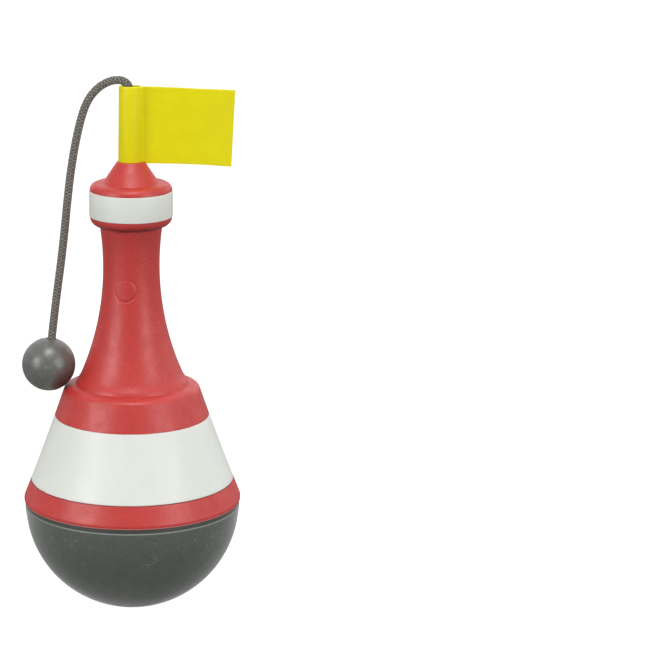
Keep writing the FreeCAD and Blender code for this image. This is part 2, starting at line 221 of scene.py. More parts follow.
# Sizes and heights worked out from them
lip_radius = shell_radius - lip_inset
edge_z = shell_centre_z - shell_edge_drop
rim_radius = shell_radius + rim_overhang
rim_z = lip_top_z + rim_skirt_height
shoulder_z = rim_z + belly_height
crease_z = shoulder_z + ledge_rise
neck_waist_z = crease_z + neck_waist_height
collar_z = crease_z + neck_height
collar_top_z = collar_z + collar_height
crown_z = tip_z - crown_thickness
belly_slope = (rim_radius - shoulder_radius) / belly_height
cone_wall = body_wall * math.sqrt(1 + belly_slope ** 2)
neck_rise = neck_foot_radius - neck_waist_radius
neck_arc = (neck_rise ** 2 + neck_waist_height ** 2) / (2 * neck_rise)
neck_arc_r = neck_waist_radius + neck_arc

# Route of the free cord, as in part.py: x and z of each point, all at y = 0
cord_route = [
    (0.0, 0.28375),
    (0.0, 0.28905),
    (-0.00375, 0.2928),
    (-0.0092, 0.2929),
    (-0.0142, 0.2909),
    (-0.0189, 0.2873),
    (-0.0236, 0.2810),
    (-0.0272, 0.2702),
    (-0.0307, 0.2539),
    (-0.0336, 0.2345),
    (-0.0370, 0.2008),
    (-0.0416, 0.1682),
    (-0.04375, 0.1494),
]
strands_each_way = 8
strand_pitch = 7.4 * mm         # one turn of a strand round the cord
strand_width = 0.74 * mm        # round the cord
strand_height = 0.42 * mm       # away from its middle
braid_growth = 0.1 * mm         # strands stand out this much past the CAD cord
strand_weave = 0.2 * mm         # how far a strand goes over and under
strand_rings = 900
strand_sides = 6
core_rings = 120
core_sides = 16
cord_middle_radius = cord_radius + braid_growth - strand_weave - strand_height / 2

# Studio: places and sizes in metres, powers in watts
light_aim = (0.0, 0.0, 0.14)            # the toy's middle
soft_boxes = {                          # place, width, height, power
    "top_box": ((0.0, -1.2, 2.93), 1.26, 1.03, 34.5),
    "left_box": ((-1.05, -0.75, 0.52), 0.42, 0.6, 6.5),
    "right_box": ((0.95, -0.9, 0.46), 0.42, 0.6, 4.1),
}
room_light = 0.30                       # from behind the camera
backdrop_light = 1.0                    # from the white backdrop
backdrop_side = (0.55, 0.83, 0.0)       # where the backdrop lies
backdrop_spread = 0.9                   # the two lights blend over most of the round
backdrop_seen = 1.2                     # what the camera sees behind the toy
floor_light = 0.05                      # what the floor gives off
floor_grey = 0.22                       # and what it reflects
floor_seen = 1.0                        # what the camera sees of it, pale to white
floor_half = 6.0
floor_drop = 0.05 * mm                  # just under the toy's foot

# Colours that more than one material uses
white = (1, 1, 1, 1)
speck_colour = (0.02, 0.015, 0.015, 1)
scuff_colour = (0.45, 0.46, 0.44, 1)
stain_colour = (0.28, 0.27, 0.26, 1)


def new_object(name, data):
    """Object of the given data, linked to the scene."""
    made = bpy.data.objects.new(name, data)
    bpy.context.scene.collection.objects.link(made)
    return made


def mesh_data(name, mesh):
    """Blender's mesh of a finished bmesh, which is freed."""
    data = bpy.data.meshes.new(name)
    mesh.to_mesh(data)
    mesh.free()
    return data


def evaluated_mesh(holder):
    """Plain mesh of what an object's curve or modifiers make."""
    bpy.context.view_layer.update()
    graph = bpy.context.evaluated_depsgraph_get()
    return bpy.data.meshes.new_from_object(holder.evaluated_get(graph))


def make_camera():
    """Camera at the photograph's angle."""
    data = bpy.data.cameras.new("photo_camera")
    data.lens = camera_lens
    data.sensor_width = camera_sensor
    data.clip_start = camera_near
    data.clip_end = camera_far
    camera = new_object("photo_camera", data)
    ahead = Vector((0, math.cos(camera_pitch), -math.sin(camera_pitch)))
    upright = Vector((0, math.sin(camera_pitch), math.cos(camera_pitch)))
    right = Vector((1, 0, 0))
    view = ahead * math.cos(camera_turn) + right * math.sin(camera_turn)
    side = right * math.cos(camera_turn) - ahead * math.sin(camera_turn)
    turn = Matrix((side, upright, -view)).transposed().to_4x4()
    turn = turn @ Matrix.Rotation(camera_roll, 4, "Z")
    camera.matrix_world = Matrix.Translation(camera_place) @ turn
    bpy.context.scene.camera = camera


def colour(red, green, blue):
    """Linear colour from the sRGB numbers of a colour chart, 0 to 255."""
    def linear(value):
        share = value / 255
        return share / 12.92 if share <= 0.04045 else ((share + 0.055) / 1.055) ** 2.4
    return (linear(red), linear(green), linear(blue), 1.0)


# Meshes

def arc(centre_r, centre_z, radius, start, end, steps):
    """Points on an arc in the r-z plane, angles in degrees from the +r direction."""
    points = []
    for k in range(steps + 1):
        angle = math.radians(start + (end - start) * k / steps)
        points.append((centre_r + radius * math.cos(angle), centre_z + radius * math.sin(angle)))
    return points


def rounded(corners, arc_steps=6):
    """Outline in the r-z plane. A corner is (r, z) or (r, z, rounding)."""
    points = []
    count = len(corners)
    for i, corner in enumerate(corners):
        here = Vector(corner[:2])
        radius = corner[2] if len(corner) > 2 else 0.0
        if radius == 0:
            points.append(tuple(here))
            continue
        back = (Vector(corners[i - 1][:2]) - here).normalized()
        ahead = (Vector(corners[(i + 1) % count][:2]) - here).normalized()
        half = back.angle(ahead) / 2
        reach = radius / math.tan(half)
        centre = here + (back + ahead).normalized() * (radius / math.sin(half))
        first = here + back * reach - centre
        last = here + ahead * reach - centre
        turn = first.angle_signed(last)
        for k in range(arc_steps + 1):
            point = centre + Matrix.Rotation(-turn * k / arc_steps, 2) @ first
            points.append(tuple(point))
    return points


def neck_r(z, wall=0.0):
    """Radius of the hollow-sided neck at height z, or of its inner face."""
    return neck_arc_r - math.sqrt((neck_arc + wall) ** 2 - (z - neck_waist_z) ** 2)


def bead(z):
    """How far the neck's foot swells out at height z."""
    return neck_bead * math.exp(-((z - crease_z - neck_bead_height) / neck_bead_width) ** 2)


def belly_r(z):
    """Radius at height z of the belly, a cone with slightly hollow sides."""
    share = (z - rim_z) / belly_height
    hollow = 4 * belly_hollow * share * (1 - share)
    return rim_radius - belly_slope * (z - rim_z) - hollow


def even_angles(count):
    """Angles evenly round the axis."""
    return [2 * math.pi * k / count for k in range(count)]


def fine_angles(count, middle, half_width, fine_step):
    """Angles round the axis, closer together on each side of a middle angle."""
    fine_count = round(2 * half_width / fine_step)
    angles = [middle - half_width + 2 * half_width * k / fine_count for k in range(fine_count)]
    rest = 2 * math.pi - 2 * half_width
    coarse = max(3, round(count * rest / (2 * math.pi)))
    angles += [middle + half_width + rest * k / coarse for k in range(coarse)]
    return angles


def turned_mesh(outline, angles, closed_ring):
    """Mesh of an outline turned about Z. It starts and ends on the axis, or closes on itself."""
    mesh = bmesh.new()
    rings = []
    for r, z in outline:
        if r < tiny:
            rings.append([mesh.verts.new((0, 0, z))])
        else:
            rings.append([mesh.verts.new((r * math.cos(a), r * math.sin(a), z)) for a in angles])
    pairs = list(zip(rings, rings[1:]))
    if closed_ring:
        pairs.append((rings[-1], rings[0]))
    count = len(angles)
    for low, high in pairs:
        for k in range(count):
            after = (k + 1) % count
            corners = [low[k % len(low)], low[after % len(low)],
                       high[after % len(high)], high[k % len(high)]]
            kept = [v for i, v in enumerate(corners) if v not in corners[:i]]
            if len(kept) > 2:
                mesh.faces.new(kept)
    bmesh.ops.remove_doubles(mesh, verts=mesh.verts, dist=weld_distance)
    bmesh.ops.recalc_face_normals(mesh, faces=mesh.faces)
    return mesh


def smooth_by_angle(mesh):
    """Smooth faces, with sharp edges kept crisp."""
    for face in mesh.faces:
        face.smooth = True
    for edge in mesh.edges:
        edge.smooth = len(edge.link_faces) == 2 and edge.calc_face_angle(0) < sharp_angle


def piece(name, mesh, material, body, slot, *nodes):
    """Object of the finished mesh that rides on a body and stands for CAD nodes."""
    smooth_by_angle(mesh)
    data = mesh_data(name, mesh)
    data.materials.append(material)
    made = new_object(name, data)
    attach(made, body)
    if nodes:
        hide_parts(*nodes)
    return made


# Shader helpers and shared groups

class Nodes:
    """Adds and links nodes of one tree in few words."""

    def __init__(self, tree):
        self.tree = tree

    def put(self, socket, value):
        """Links a socket to another, or sets its value."""
        if isinstance(value, bpy.types.NodeSocket):
            self.tree.links.new(value, socket)
        else:
            socket.default_value = value

    def fill(self, node, inputs):
        """Links or sets several inputs of a node."""
        for name, value in inputs.items():
            self.put(node.inputs[name], value)

    def add(self, kind, inputs=None, **settings):
        """New node with its settings and inputs."""
        node = self.tree.nodes.new(kind)
        for name, value in settings.items():
            setattr(node, name, value)
        self.fill(node, inputs or {})
        return node

    def out(self, kind, inputs=None, **settings):
        """First output of a new node."""
        return self.add(kind, inputs, **settings).outputs[0]

    def math(self, operation, first, second=0.0):
        """Result of one step of arithmetic."""
        return self.out("ShaderNodeMath", {0: first, 1: second}, operation=operation)

    def length(self, first, second):
        """Length of the hypotenuse over two values."""
        return self.math("SQRT", self.math("ADD", self.math("MULTIPLY", first, first),
                                           self.math("MULTIPLY", second, second)))

    def ranged(self, value, low, high, new_low=0.0, new_high=1.0, kind="SMOOTHSTEP"):
        """Value mapped from one range to another, eased unless kind says otherwise."""
        return self.add("ShaderNodeMapRange", {
            "Value": value, "From Min": low, "From Max": high,
            "To Min": new_low, "To Max": new_high}, interpolation_type=kind).outputs["Result"]

    def mixed(self, share, first, second):
        """Blend of two colours."""
        return self.add("ShaderNodeMix", {0: share, 6: first, 7: second},
                        data_type="RGBA").outputs[2]

    def noise(self, place, scale, detail=2.0, roughness=0.5):
        """Noise between 0 and 1."""
        return self.add("ShaderNodeTexNoise", {
            "Vector": place, "Scale": scale, "Detail": detail,
            "Roughness": roughness}).outputs["Fac"]

    def object_place(self):
        """Object coordinates, which are the toy's own frame in metres."""
        return self.add("ShaderNodeTexCoord").outputs["Object"]

    def attribute(self, name):
        """Value that is stored on the mesh."""
        return self.add("ShaderNodeAttribute", attribute_name=name).outputs["Fac"]

    def stretched(self, place, scale, rotation=(0.0, 0.0, 0.0)):
        """Coordinates turned and stretched for a texture."""
        return self.out("ShaderNodeMapping", {
            "Vector": place, "Rotation": rotation, "Scale": scale})

    def bump(self, height, depth, strength=1.0):
        """Normal of a fine relief, its depth in metres."""
        return self.out("ShaderNodeBump", {
            "Strength": strength, "Distance": depth, "Height": height})


def new_group(name, inputs, outputs):
    """Shader node group with float inputs (name, value), named outputs and no nodes between."""
    group = bpy.data.node_groups.new(name, "ShaderNodeTree")
    for label, value in inputs:
        socket = group.interface.new_socket(label, in_out="INPUT", socket_type="NodeSocketFloat")
        socket.default_value = value
    for label in outputs:
        group.interface.new_socket(label, in_out="OUTPUT", socket_type="NodeSocketFloat")
    nodes = Nodes(group)
    given = nodes.add("NodeGroupInput")
    result = nodes.add("NodeGroupOutput")
    return group, nodes, given.outputs, result


def make_grain_group():
    """Moulded rubber or plastic: fine grain for bump, and soft mottling of the colour."""
    group, nodes, given, result = new_group(
        "moulded_grain",
        [("Grain Size", 0.45), ("Mottle Size", 9.0), ("Pits", 0.3)],
        ["Height", "Mottle", "Fine"])
    coarse_scale, coarse_weight = 0.31, 0.8         # against the fine grain
    place = nodes.object_place()
    grain_scale = nodes.math("DIVIDE", mm_per_metre, given["Grain Size"])
    mottle_scale = nodes.math("DIVIDE", mm_per_metre, given["Mottle Size"])
    fine = nodes.noise(place, grain_scale, 3.0, 0.6)
    coarse = nodes.noise(place, nodes.math("MULTIPLY", grain_scale, coarse_scale))
    cells = nodes.add("ShaderNodeTexVoronoi", {"Vector": place, "Scale": grain_scale}).outputs
    pits = nodes.ranged(cells["Distance"], 0.0, 0.35, 1.0, 0.0)
    height = nodes.math("ADD", fine, nodes.math("MULTIPLY", coarse, coarse_weight))
    height = nodes.math("SUBTRACT", height, nodes.math("MULTIPLY", pits, given["Pits"]))
    broad = nodes.noise(place, mottle_scale, 4.0, 0.62)
    nodes.fill(result, {
        "Height": height, "Mottle": nodes.ranged(broad, 0.32, 0.68), "Fine": fine})
    return group


def make_ring_group():
    """Mask on a ring round the toy's axis for painted shade and highlights: 1 on it, fading out,
    broken up by noise.
    """
    group, nodes, given, result = new_group(
        "shade_and_highlight_ring",
        [("Radius", 59.0), ("Height", 57.0), ("Width", 0.6), ("Unevenness", 0.4)],
        ["Mask"])
    noise_scale = 220.0
    place = nodes.object_place()
    split = nodes.add("ShaderNodeSeparateXYZ", {0: place}).outputs
    radius = nodes.math("MULTIPLY", nodes.length(split["X"], split["Y"]), mm_per_metre)
    height = nodes.math("MULTIPLY", split["Z"], mm_per_metre)
    away = nodes.length(nodes.math("SUBTRACT", radius, given["Radius"]),
                        nodes.math("SUBTRACT", height, given["Height"]))
    near = nodes.ranged(nodes.math("DIVIDE", away, given["Width"]), 0.0, 1.0, 1.0, 0.0)
    uneven = nodes.math("SUBTRACT", nodes.noise(place, noise_scale, 3.0, 0.7), 0.5)
    uneven = nodes.math("MULTIPLY", uneven, given["Unevenness"])
    uneven = nodes.math("ADD", nodes.math("MULTIPLY", uneven, 2.0), 1.0)
    mask = nodes.out("ShaderNodeClamp", {"Value": nodes.math("MULTIPLY", near, uneven)})
    nodes.fill(result, {"Mask": mask})
    return group


def make_marks_group():
    """Masks for sparse dark specks and for short light scuffs in the surface."""
    group, nodes, given, result = new_group(
        "handling_marks",
        [("Speck Spacing", 4.0), ("Speck Size", 0.16), ("Scuff Spacing", 14.0)],
        ["Specks", "Scuffs"])
    scuff_stretch, scuff_turn = (1.0, 9.0, 9.0), (0.4, 0.9, 0.5)
    place = nodes.object_place()
    speck_scale = nodes.math("DIVIDE", mm_per_metre, given["Speck Spacing"])
    cells = nodes.add("ShaderNodeTexVoronoi", {"Vector": place, "Scale": speck_scale}).outputs
    dot = nodes.math("LESS_THAN", cells["Distance"],
                     nodes.math("DIVIDE", given["Speck Size"], given["Speck Spacing"]))
    chance = nodes.ranged(nodes.out("ShaderNodeSeparateColor", {0: cells["Color"]}), 0.55, 0.6)
    scuff_scale = nodes.math("DIVIDE", mm_per_metre, given["Scuff Spacing"])
    lines = nodes.noise(nodes.stretched(place, scuff_stretch, scuff_turn), scuff_scale, 1.0, 0.4)
    where = nodes.noise(place, nodes.math("MULTIPLY", scuff_scale, 0.55), 1.0)
    nodes.fill(result, {
        "Specks": nodes.math("MULTIPLY", dot, chance),
        "Scuffs": nodes.math("MULTIPLY", nodes.ranged(lines, 0.66, 0.74),
                             nodes.ranged(where, 0.5, 0.62))})
    return group


grain_group = make_grain_group()
ring_group = make_ring_group()
marks_group = make_marks_group()


def new_material(name):
    """Material with a Principled shader, its node helper and that shader."""
    material = bpy.data.materials.new(name)
    material.use_nodes = True
    nodes = Nodes(material.node_tree)
    return material, nodes, material.node_tree.nodes["Principled BSDF"]


def placed_group(nodes, group, **values):
    """Outputs of a shared group placed in a material with its own values."""
    node = nodes.add("ShaderNodeGroup", node_tree=group)
    for label, value in values.items():
        node.inputs[label.replace("_", " ")].default_value = value
    return node.outputs


# Settings that all moulded materials share
grain_shade = 0.7               # colour of the grain's hollows, against the dark tone
roughness_spread = 0.05
sheen_roughness = 0.35


def moulded_material(name, light, dark, roughness, grain_size, grain_depth, mottle_size,
                     sheen=0.0, specular=0.5, pits=0.3, specks=0.0, scuffs=0.0, grain_tint=0.0,
                     rings=()):
    """Moulded rubber or plastic. Grain and mottle are in mm.

    A ring of painted shade or painted highlight is (radius, height, width, strength, colour), in
    metres.
    """
    material, nodes, shader = new_material(name)
    grain = placed_group(nodes, grain_group,
                         Grain_Size=grain_size, Mottle_Size=mottle_size, Pits=pits)
    base = nodes.mixed(grain["Mottle"], dark, light)
    if grain_tint:
        share = nodes.ranged(grain["Fine"], 0.38, 0.62, grain_tint, 0.0)
        shade = tuple(grain_shade * value for value in dark[:3]) + (1.0,)
        base = nodes.mixed(share, base, shade)
    if specks or scuffs:
        marks = placed_group(nodes, marks_group)
        for label, amount, tint in (("Specks", specks, speck_colour),
                                    ("Scuffs", scuffs, scuff_colour)):
            if amount:
                base = nodes.mixed(nodes.math("MULTIPLY", marks[label], amount), base, tint)
    for radius, height, width, strength, tint in rings:
        ring = placed_group(nodes, ring_group,
                            Radius=radius / mm, Height=height / mm, Width=width / mm)
        base = nodes.mixed(nodes.math("MULTIPLY", ring["Mask"], strength), base, tint)
    nodes.fill(shader, {
        "Base Color": base,
        "Roughness": nodes.ranged(grain["Mottle"], 0.0, 1.0, roughness + roughness_spread,
                                  roughness - roughness_spread, "LINEAR"),
        "Specular IOR Level": specular, "Sheen Weight": sheen, "Sheen Roughness": sheen_roughness,
        "Normal": nodes.bump(grain["Height"], grain_depth * mm)})
    return material


def cord_material():
    """Braided cord: light and dark yarns, fine threads along each strand, painted shade where
    strands dip under.
    """
    material, nodes, shader = new_material("braided_cord")
    uv = nodes.out("ShaderNodeUVMap", uv_map="strand")
    threads = nodes.noise(nodes.stretched(uv, (90.0, 9.0, 1.0)), 4.0, 3.0, 0.6)
    fleck = nodes.noise(nodes.object_place(), 900.0)
    base = nodes.mixed(nodes.attribute("yarn"), colour(142, 138, 130), colour(176, 173, 165))
    base = nodes.mixed(nodes.ranged(fleck, 0.5, 0.8, 0.0, 0.3), base, colour(190, 188, 178))
    base = nodes.mixed(nodes.ranged(threads, 0.3, 0.6, 0.2, 0.0), base, colour(80, 76, 71))
    # painted shade where a strand dips under the strands of the other way
    under_shade = nodes.ranged(nodes.attribute("over"), -0.4, 0.9, 0.75, 0.0)
    base = nodes.mixed(under_shade, base, colour(44, 40, 37))
    nodes.fill(shader, {"Base Color": base, "Roughness": 0.72, "Sheen Weight": 0.1,
                        "Normal": nodes.bump(threads, 0.08 * mm, 0.8)})
    return material


def knot_material():
    """The same yarns seen as a tight knot."""
    material, nodes, shader = new_material("knotted_cord")
    turned = nodes.stretched(nodes.object_place(), (1.0, 1.0, 1.0), (0.7, 0.3, 0.2))
    weave = nodes.add("ShaderNodeTexWave", {
        "Vector": turned, "Scale": 300.0, "Distortion": 3.0, "Detail": 2.0}).outputs["Fac"]
    base = nodes.mixed(weave, colour(78, 76, 70), colour(140, 138, 128))
    nodes.fill(shader, {"Base Color": base, "Roughness": 0.75,
                        "Normal": nodes.bump(weave, 0.2 * mm, 0.9)})
    return material


def steel_material(name, tint):
    """Plain rolled or punched steel with fine scratches."""
    material, nodes, shader = new_material(name)
    place = nodes.object_place()
    lines = nodes.noise(nodes.stretched(place, (1.0, 30.0, 1.0)), 260.0, 3.0, 0.6)
    stains = nodes.noise(place, 120.0, 3.0, 0.6)
    base = nodes.mixed(nodes.ranged(stains, 0.4, 0.7, 0.0, 0.5), tint, stain_colour)
    nodes.fill(shader, {"Base Color": base, "Metallic": 1.0,
                        "Roughness": nodes.ranged(lines, 0.3, 0.7, 0.25, 0.45, "LINEAR"),
                        "Normal": nodes.bump(lines, 0.02 * mm, 0.5)})
    return material


# Materials. Colours are those of a colour chart, from 0 to 255
seam_z = lip_top_z - 1.3 * mm   # middle of the seam between the bowl and the rim, where shade is painted
neck_top_r = neck_r(collar_z)
bowl_rubber = moulded_material(
    "bowl_rubber", light=colour(95, 102, 93), dark=colour(85, 92, 84), roughness=0.45,
    grain_size=0.6, grain_depth=0.05, mottle_size=6.0, sheen=1.0, specular=0.9,
    scuffs=0.25, grain_tint=0.9,
    rings=[  # painted shade in the seam, the fine line in it, painted highlight on the bowl's edge, painted shade towards the foot
        (lip_radius, seam_z, 1.5 * mm, 0.9, colour(36, 36, 34)),
        (lip_radius, seam_z + 0.1 * mm, 0.35 * mm, 0.5, colour(110, 104, 100)),
        (shell_radius + 0.1 * mm, edge_z - 0.1 * mm, 0.6 * mm, 0.55, colour(160, 165, 157)),
        (foot_radius + 12.0 * mm, 6.0 * mm, 26.0 * mm, 0.7, colour(60, 66, 59)),
    ])
red_rubber = moulded_material(
    "red_rubber", light=colour(209, 61, 56), dark=colour(200, 53, 48), roughness=0.44,
    grain_size=0.7, grain_depth=0.06, mottle_size=6.0, specular=0.7, specks=0.6, grain_tint=0.5,
    rings=[  # painted highlight on the rim's lower edge, painted shade in the joint under the belly band
        (rim_radius - 0.2 * mm, lip_top_z + 0.2 * mm, 0.7 * mm, 0.7, colour(232, 150, 144)),
        (belly_r(belly_band_low), belly_band_low - 0.1 * mm, 0.4 * mm, 0.5, colour(110, 36, 34)),
        # painted shade in the corner under the collar and on the collar's underside
        (neck_top_r + 0.2 * mm, collar_z - 0.2 * mm, 0.8 * mm, 0.6, colour(76, 20, 20)),
        (neck_top_r + 2.4 * mm, collar_z + 1.0 * mm, 3.8 * mm, 0.9, colour(112, 32, 32)),
        # painted shade in the crease at the neck's foot, painted highlight tinted by the flag's
        # yellow on the tip's edge
        (neck_foot_radius + 0.6 * mm, crease_z + 0.9 * mm, 0.6 * mm, 0.4, colour(150, 36, 34)),
        (tip_top_radius - 0.2 * mm, tip_z, 0.5 * mm, 0.4, colour(235, 130, 60)),
    ])
white_rubber = moulded_material(
    "white_rubber", light=colour(232, 235, 228), dark=colour(229, 232, 225), roughness=0.42,
    grain_size=0.6, grain_depth=0.03, mottle_size=14.0)
yellow_rubber = moulded_material(
    "yellow_rubber", light=colour(238, 228, 5), dark=colour(234, 223, 3), roughness=0.45,
    grain_size=0.7, grain_depth=0.03, mottle_size=10.0, specular=0.3)
ball_rubber = moulded_material(
    "ball_rubber", light=colour(110, 113, 109), dark=colour(96, 98, 93), roughness=0.35,
    grain_size=0.8, grain_depth=0.09, mottle_size=4.0, sheen=0.1, specular=1.0,
    scuffs=0.15, grain_tint=0.6,
    rings=[  # painted shade on the ball's lower inner side, which faces the shoulder
        (-ball_centre.x - ball_shade_reach * ball_radius, ball_centre.z - ball_shade_reach * ball_radius,
         14.5 * mm, 1.0, colour(32, 46, 43)),
    ])
light_plastic = moulded_material(
    "light_plastic", light=colour(206, 211, 214), dark=colour(199, 204, 208), roughness=0.35,
    grain_size=0.8, grain_depth=0.015, mottle_size=20.0, pits=0.0)
seal_rubber = moulded_material(
    "seal_rubber", light=colour(52, 52, 50), dark=colour(42, 42, 41), roughness=0.5,
    grain_size=0.3, grain_depth=0.02, mottle_size=5.0)
braided_cord = cord_material()
knotted_cord = knot_material()
ballast_steel = steel_material("ballast_steel", (0.46, 0.45, 0.43, 1))
washer_steel = steel_material("washer_steel", (0.58, 0.58, 0.58, 1))


# Cord

def route_curve():
    """The cord's centre line: a NURBS spline with the route's points as control points."""
    curve = bpy.data.curves.new("cord_route", "CURVE")
    curve.dimensions = "3D"
    curve.resolution_u = 24
    spline = curve.splines.new("NURBS")
    spline.points.add(len(cord_route) - 1)
    for point, (x, z) in zip(spline.points, cord_route):
        point.co = (x, 0.0, z, 1.0)
    spline.order_u = 3
    spline.use_endpoint_u = True
    return new_object("cord_route", curve)


def route_points(curve):
    """Points read from the route's spline, from the flag's mouth to the ball."""
    line = evaluated_mesh(curve)
    points = [vertex.co.copy() for vertex in line.vertices]
    bpy.data.meshes.remove(line)
    return points


def braid_tree():
    """Geometry Nodes tree that braids strands round the line of points it is given."""
    tree = bpy.data.node_groups.new("braid_round_line", "GeometryNodeTree")
    face = tree.interface
    face.new_socket("Geometry", in_out="INPUT", socket_type="NodeSocketGeometry")
    sizes = {
        "Strands Each Way": ("NodeSocketInt", strands_each_way),
        "Rings": ("NodeSocketInt", strand_rings),
        "Pitch": ("NodeSocketFloat", strand_pitch),
        "Middle Radius": ("NodeSocketFloat", cord_middle_radius),
        "Weave": ("NodeSocketFloat", strand_weave),
        "Strand Width": ("NodeSocketFloat", strand_width),
        "Strand Height": ("NodeSocketFloat", strand_height),
        "Material": ("NodeSocketMaterial", braided_cord),
    }
    for label, (kind, _) in sizes.items():
        face.new_socket(label, in_out="INPUT", socket_type=kind)
    face.new_socket("Geometry", in_out="OUTPUT", socket_type="NodeSocketGeometry")
    nodes = Nodes(tree)
    given = nodes.add("NodeGroupInput").outputs

    def vector(operation, inputs):
        return nodes.out("ShaderNodeVectorMath", inputs, operation=operation)

    def stored(geometry, name, value, domain="POINT"):
        return nodes.out("GeometryNodeStoreNamedAttribute", {
            "Geometry": geometry, "Name": name, "Value": value}, data_type="FLOAT", domain=domain)

    # Copies of the line, one for each strand, half of them winding the other way
    line = nodes.out("GeometryNodeMeshToCurve", {"Mesh": given["Geometry"]})
    length = nodes.out("GeometryNodeCurveLength", {"Curve": line})
    strand = nodes.out("GeometryNodeResampleCurve", {"Curve": line, "Count": given["Rings"]})
    copies = nodes.math("MULTIPLY", given["Strands Each Way"], 2)
    doubled = nodes.add("GeometryNodeDuplicateElements", {
        "Geometry": strand, "Amount": copies}, domain="SPLINE").outputs
    number = doubled["Duplicate Index"]
    way = nodes.math("MODULO", number, 2.0)
    sign = nodes.math("SUBTRACT", nodes.math("MULTIPLY", way, 2.0), 1.0)
    place_round = nodes.math("FLOOR", nodes.math("DIVIDE", number, 2.0))

    # Angle round the cord, and over and under the strands of the other way
    share = nodes.add("GeometryNodeSplineParameter").outputs["Factor"]
    along = nodes.math("MULTIPLY", share, length)
    wind = nodes.math("DIVIDE", nodes.math("MULTIPLY", along, 2 * math.pi), given["Pitch"])
    start = nodes.math("DIVIDE", nodes.math("MULTIPLY", place_round, 2 * math.pi),
                       given["Strands Each Way"])
    angle = nodes.math("ADD", start, nodes.math("MULTIPLY", wind, sign))
    beat = nodes.math("MULTIPLY", wind, given["Strands Each Way"])
    beat = nodes.math("ADD", beat, nodes.math("MULTIPLY", place_round, math.pi))
    over = nodes.math("MULTIPLY", nodes.math("COSINE", beat), sign)
    radius = nodes.math("ADD", given["Middle Radius"], nodes.math("MULTIPLY", over, given["Weave"]))

    # Place of each ring; the route lies in the plane of x and z
    sampled = nodes.add("GeometryNodeSampleCurve", {
        "Curves": line, "Factor": share}, mode="FACTOR").outputs
    across = (0.0, 1.0, 0.0)
    inward = vector("NORMALIZE", {0: vector("CROSS_PRODUCT", {0: sampled["Tangent"], 1: across})})
    out = vector("ADD", {
        0: vector("SCALE", {0: across, "Scale": nodes.math("COSINE", angle)}),
        1: vector("SCALE", {0: inward, "Scale": nodes.math("SINE", angle)})})
    position = vector("ADD", {
        0: sampled["Position"], 1: vector("SCALE", {0: out, "Scale": radius})})
    placed = nodes.out("GeometryNodeSetPosition", {
        "Geometry": doubled["Geometry"], "Position": position})
    count_round = nodes.math("MODULO", nodes.math("ADD", place_round, way), 4.0)
    lighter = nodes.math("LESS_THAN", count_round, 0.5)     # one strand in four
    marked = stored(placed, "yarn", lighter, "CURVE")
    marked = nodes.out("GeometryNodeSetCurveNormal", {"Curve": marked, "Normal": out}, mode="FREE")
    marked = stored(marked, "strand_v", share)
    marked = stored(marked, "over", over)

    # Flat strands, and a core that fills the cord
    section = nodes.out("GeometryNodeCurvePrimitiveCircle", {
        "Resolution": strand_sides, "Radius": 1.0})
    flat = nodes.out("ShaderNodeCombineXYZ", {
        "X": nodes.math("DIVIDE", given["Strand Height"], 2.0),
        "Y": nodes.math("DIVIDE", given["Strand Width"], 2.0), "Z": 1.0})
    section = nodes.out("GeometryNodeTransform", {"Geometry": section, "Scale": flat})
    round_share = nodes.add("GeometryNodeSplineParameter").outputs["Factor"]
    section = stored(section, "strand_u", round_share)
    tubes = nodes.out("GeometryNodeCurveToMesh", {
        "Curve": marked, "Profile Curve": section, "Fill Caps": True})
    core_radius = nodes.math("SUBTRACT", given["Middle Radius"], given["Weave"])
    core_section = nodes.out("GeometryNodeCurvePrimitiveCircle", {
        "Resolution": core_sides, "Radius": core_radius})
    core_line = nodes.out("GeometryNodeResampleCurve", {"Curve": line, "Count": core_rings})
    core = nodes.out("GeometryNodeCurveToMesh", {
        "Curve": core_line, "Profile Curve": core_section, "Fill Caps": True})
    joined = nodes.add("GeometryNodeJoinGeometry")
    for part in (core, tubes):
        nodes.put(joined.inputs[0], part)
    real = nodes.out("GeometryNodeRealizeInstances", {"Geometry": joined.outputs[0]})
    dressed = nodes.out("GeometryNodeSetMaterial", {
        "Geometry": real, "Material": given["Material"]})
    nodes.add("NodeGroupOutput", {0: dressed})
    return tree, {label: value for label, (_, value) in sizes.items()}


def dressed_by(tree, values, base, name):
    """Plain mesh that a Geometry Nodes tree makes from a base mesh."""
    holder = new_object(name + "_holder", base)
    modifier = holder.modifiers.new("braid", "NODES")
    modifier.node_group = tree
    for item in tree.interface.items_tree:
        if item.in_out == "INPUT" and item.name in values:
            modifier[item.identifier] = values[item.name]
    made = evaluated_mesh(holder)
    holder.modifiers.remove(modifier)
    bpy.data.objects.remove(holder)
    made.name = name
    return made


def strand_map(mesh):
    """UV map along and round each strand, from the values that the tree stored."""
    layer = mesh.uv_layers.new(name="strand")
    count = len(mesh.vertices)
    columns = {}
    for label in ("strand_u", "strand_v"):
        values = [0.0] * count
        if label in mesh.attributes:
            mesh.attributes[label].data.foreach_get("value", values)
        columns[label] = values
    for loop in mesh.loops:
        layer.data[loop.index].uv = (columns["strand_u"][loop.vertex_index],
                                     columns["strand_v"][loop.vertex_index])


def make_cord():
    """Braided cord from the flag's mouth into the ball."""
    curve = route_curve()
    points = route_points(curve)
    bpy.data.objects.remove(curve)
    line = bpy.data.meshes.new("cord_line")
    line.from_pydata(points, [(k, k + 1) for k in range(len(points) - 1)], [])
    tree, values = braid_tree()
    data = dressed_by(tree, values, line, "throw_cord_braid")
    strand_map(data)
    for face in data.polygons:
        face.use_smooth = True
    made = new_object("throw_cord_braid", data)
    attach(made, "cord")
    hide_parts("throw_cord")
    return made, points


# Moulded pieces

def flare(z):
    """How much wider than a ball the bowl is at height z."""
    share = 1 - (shell_centre_z - z) / edge_flare_depth
    return edge_flare * max(share, 0.0) ** 2


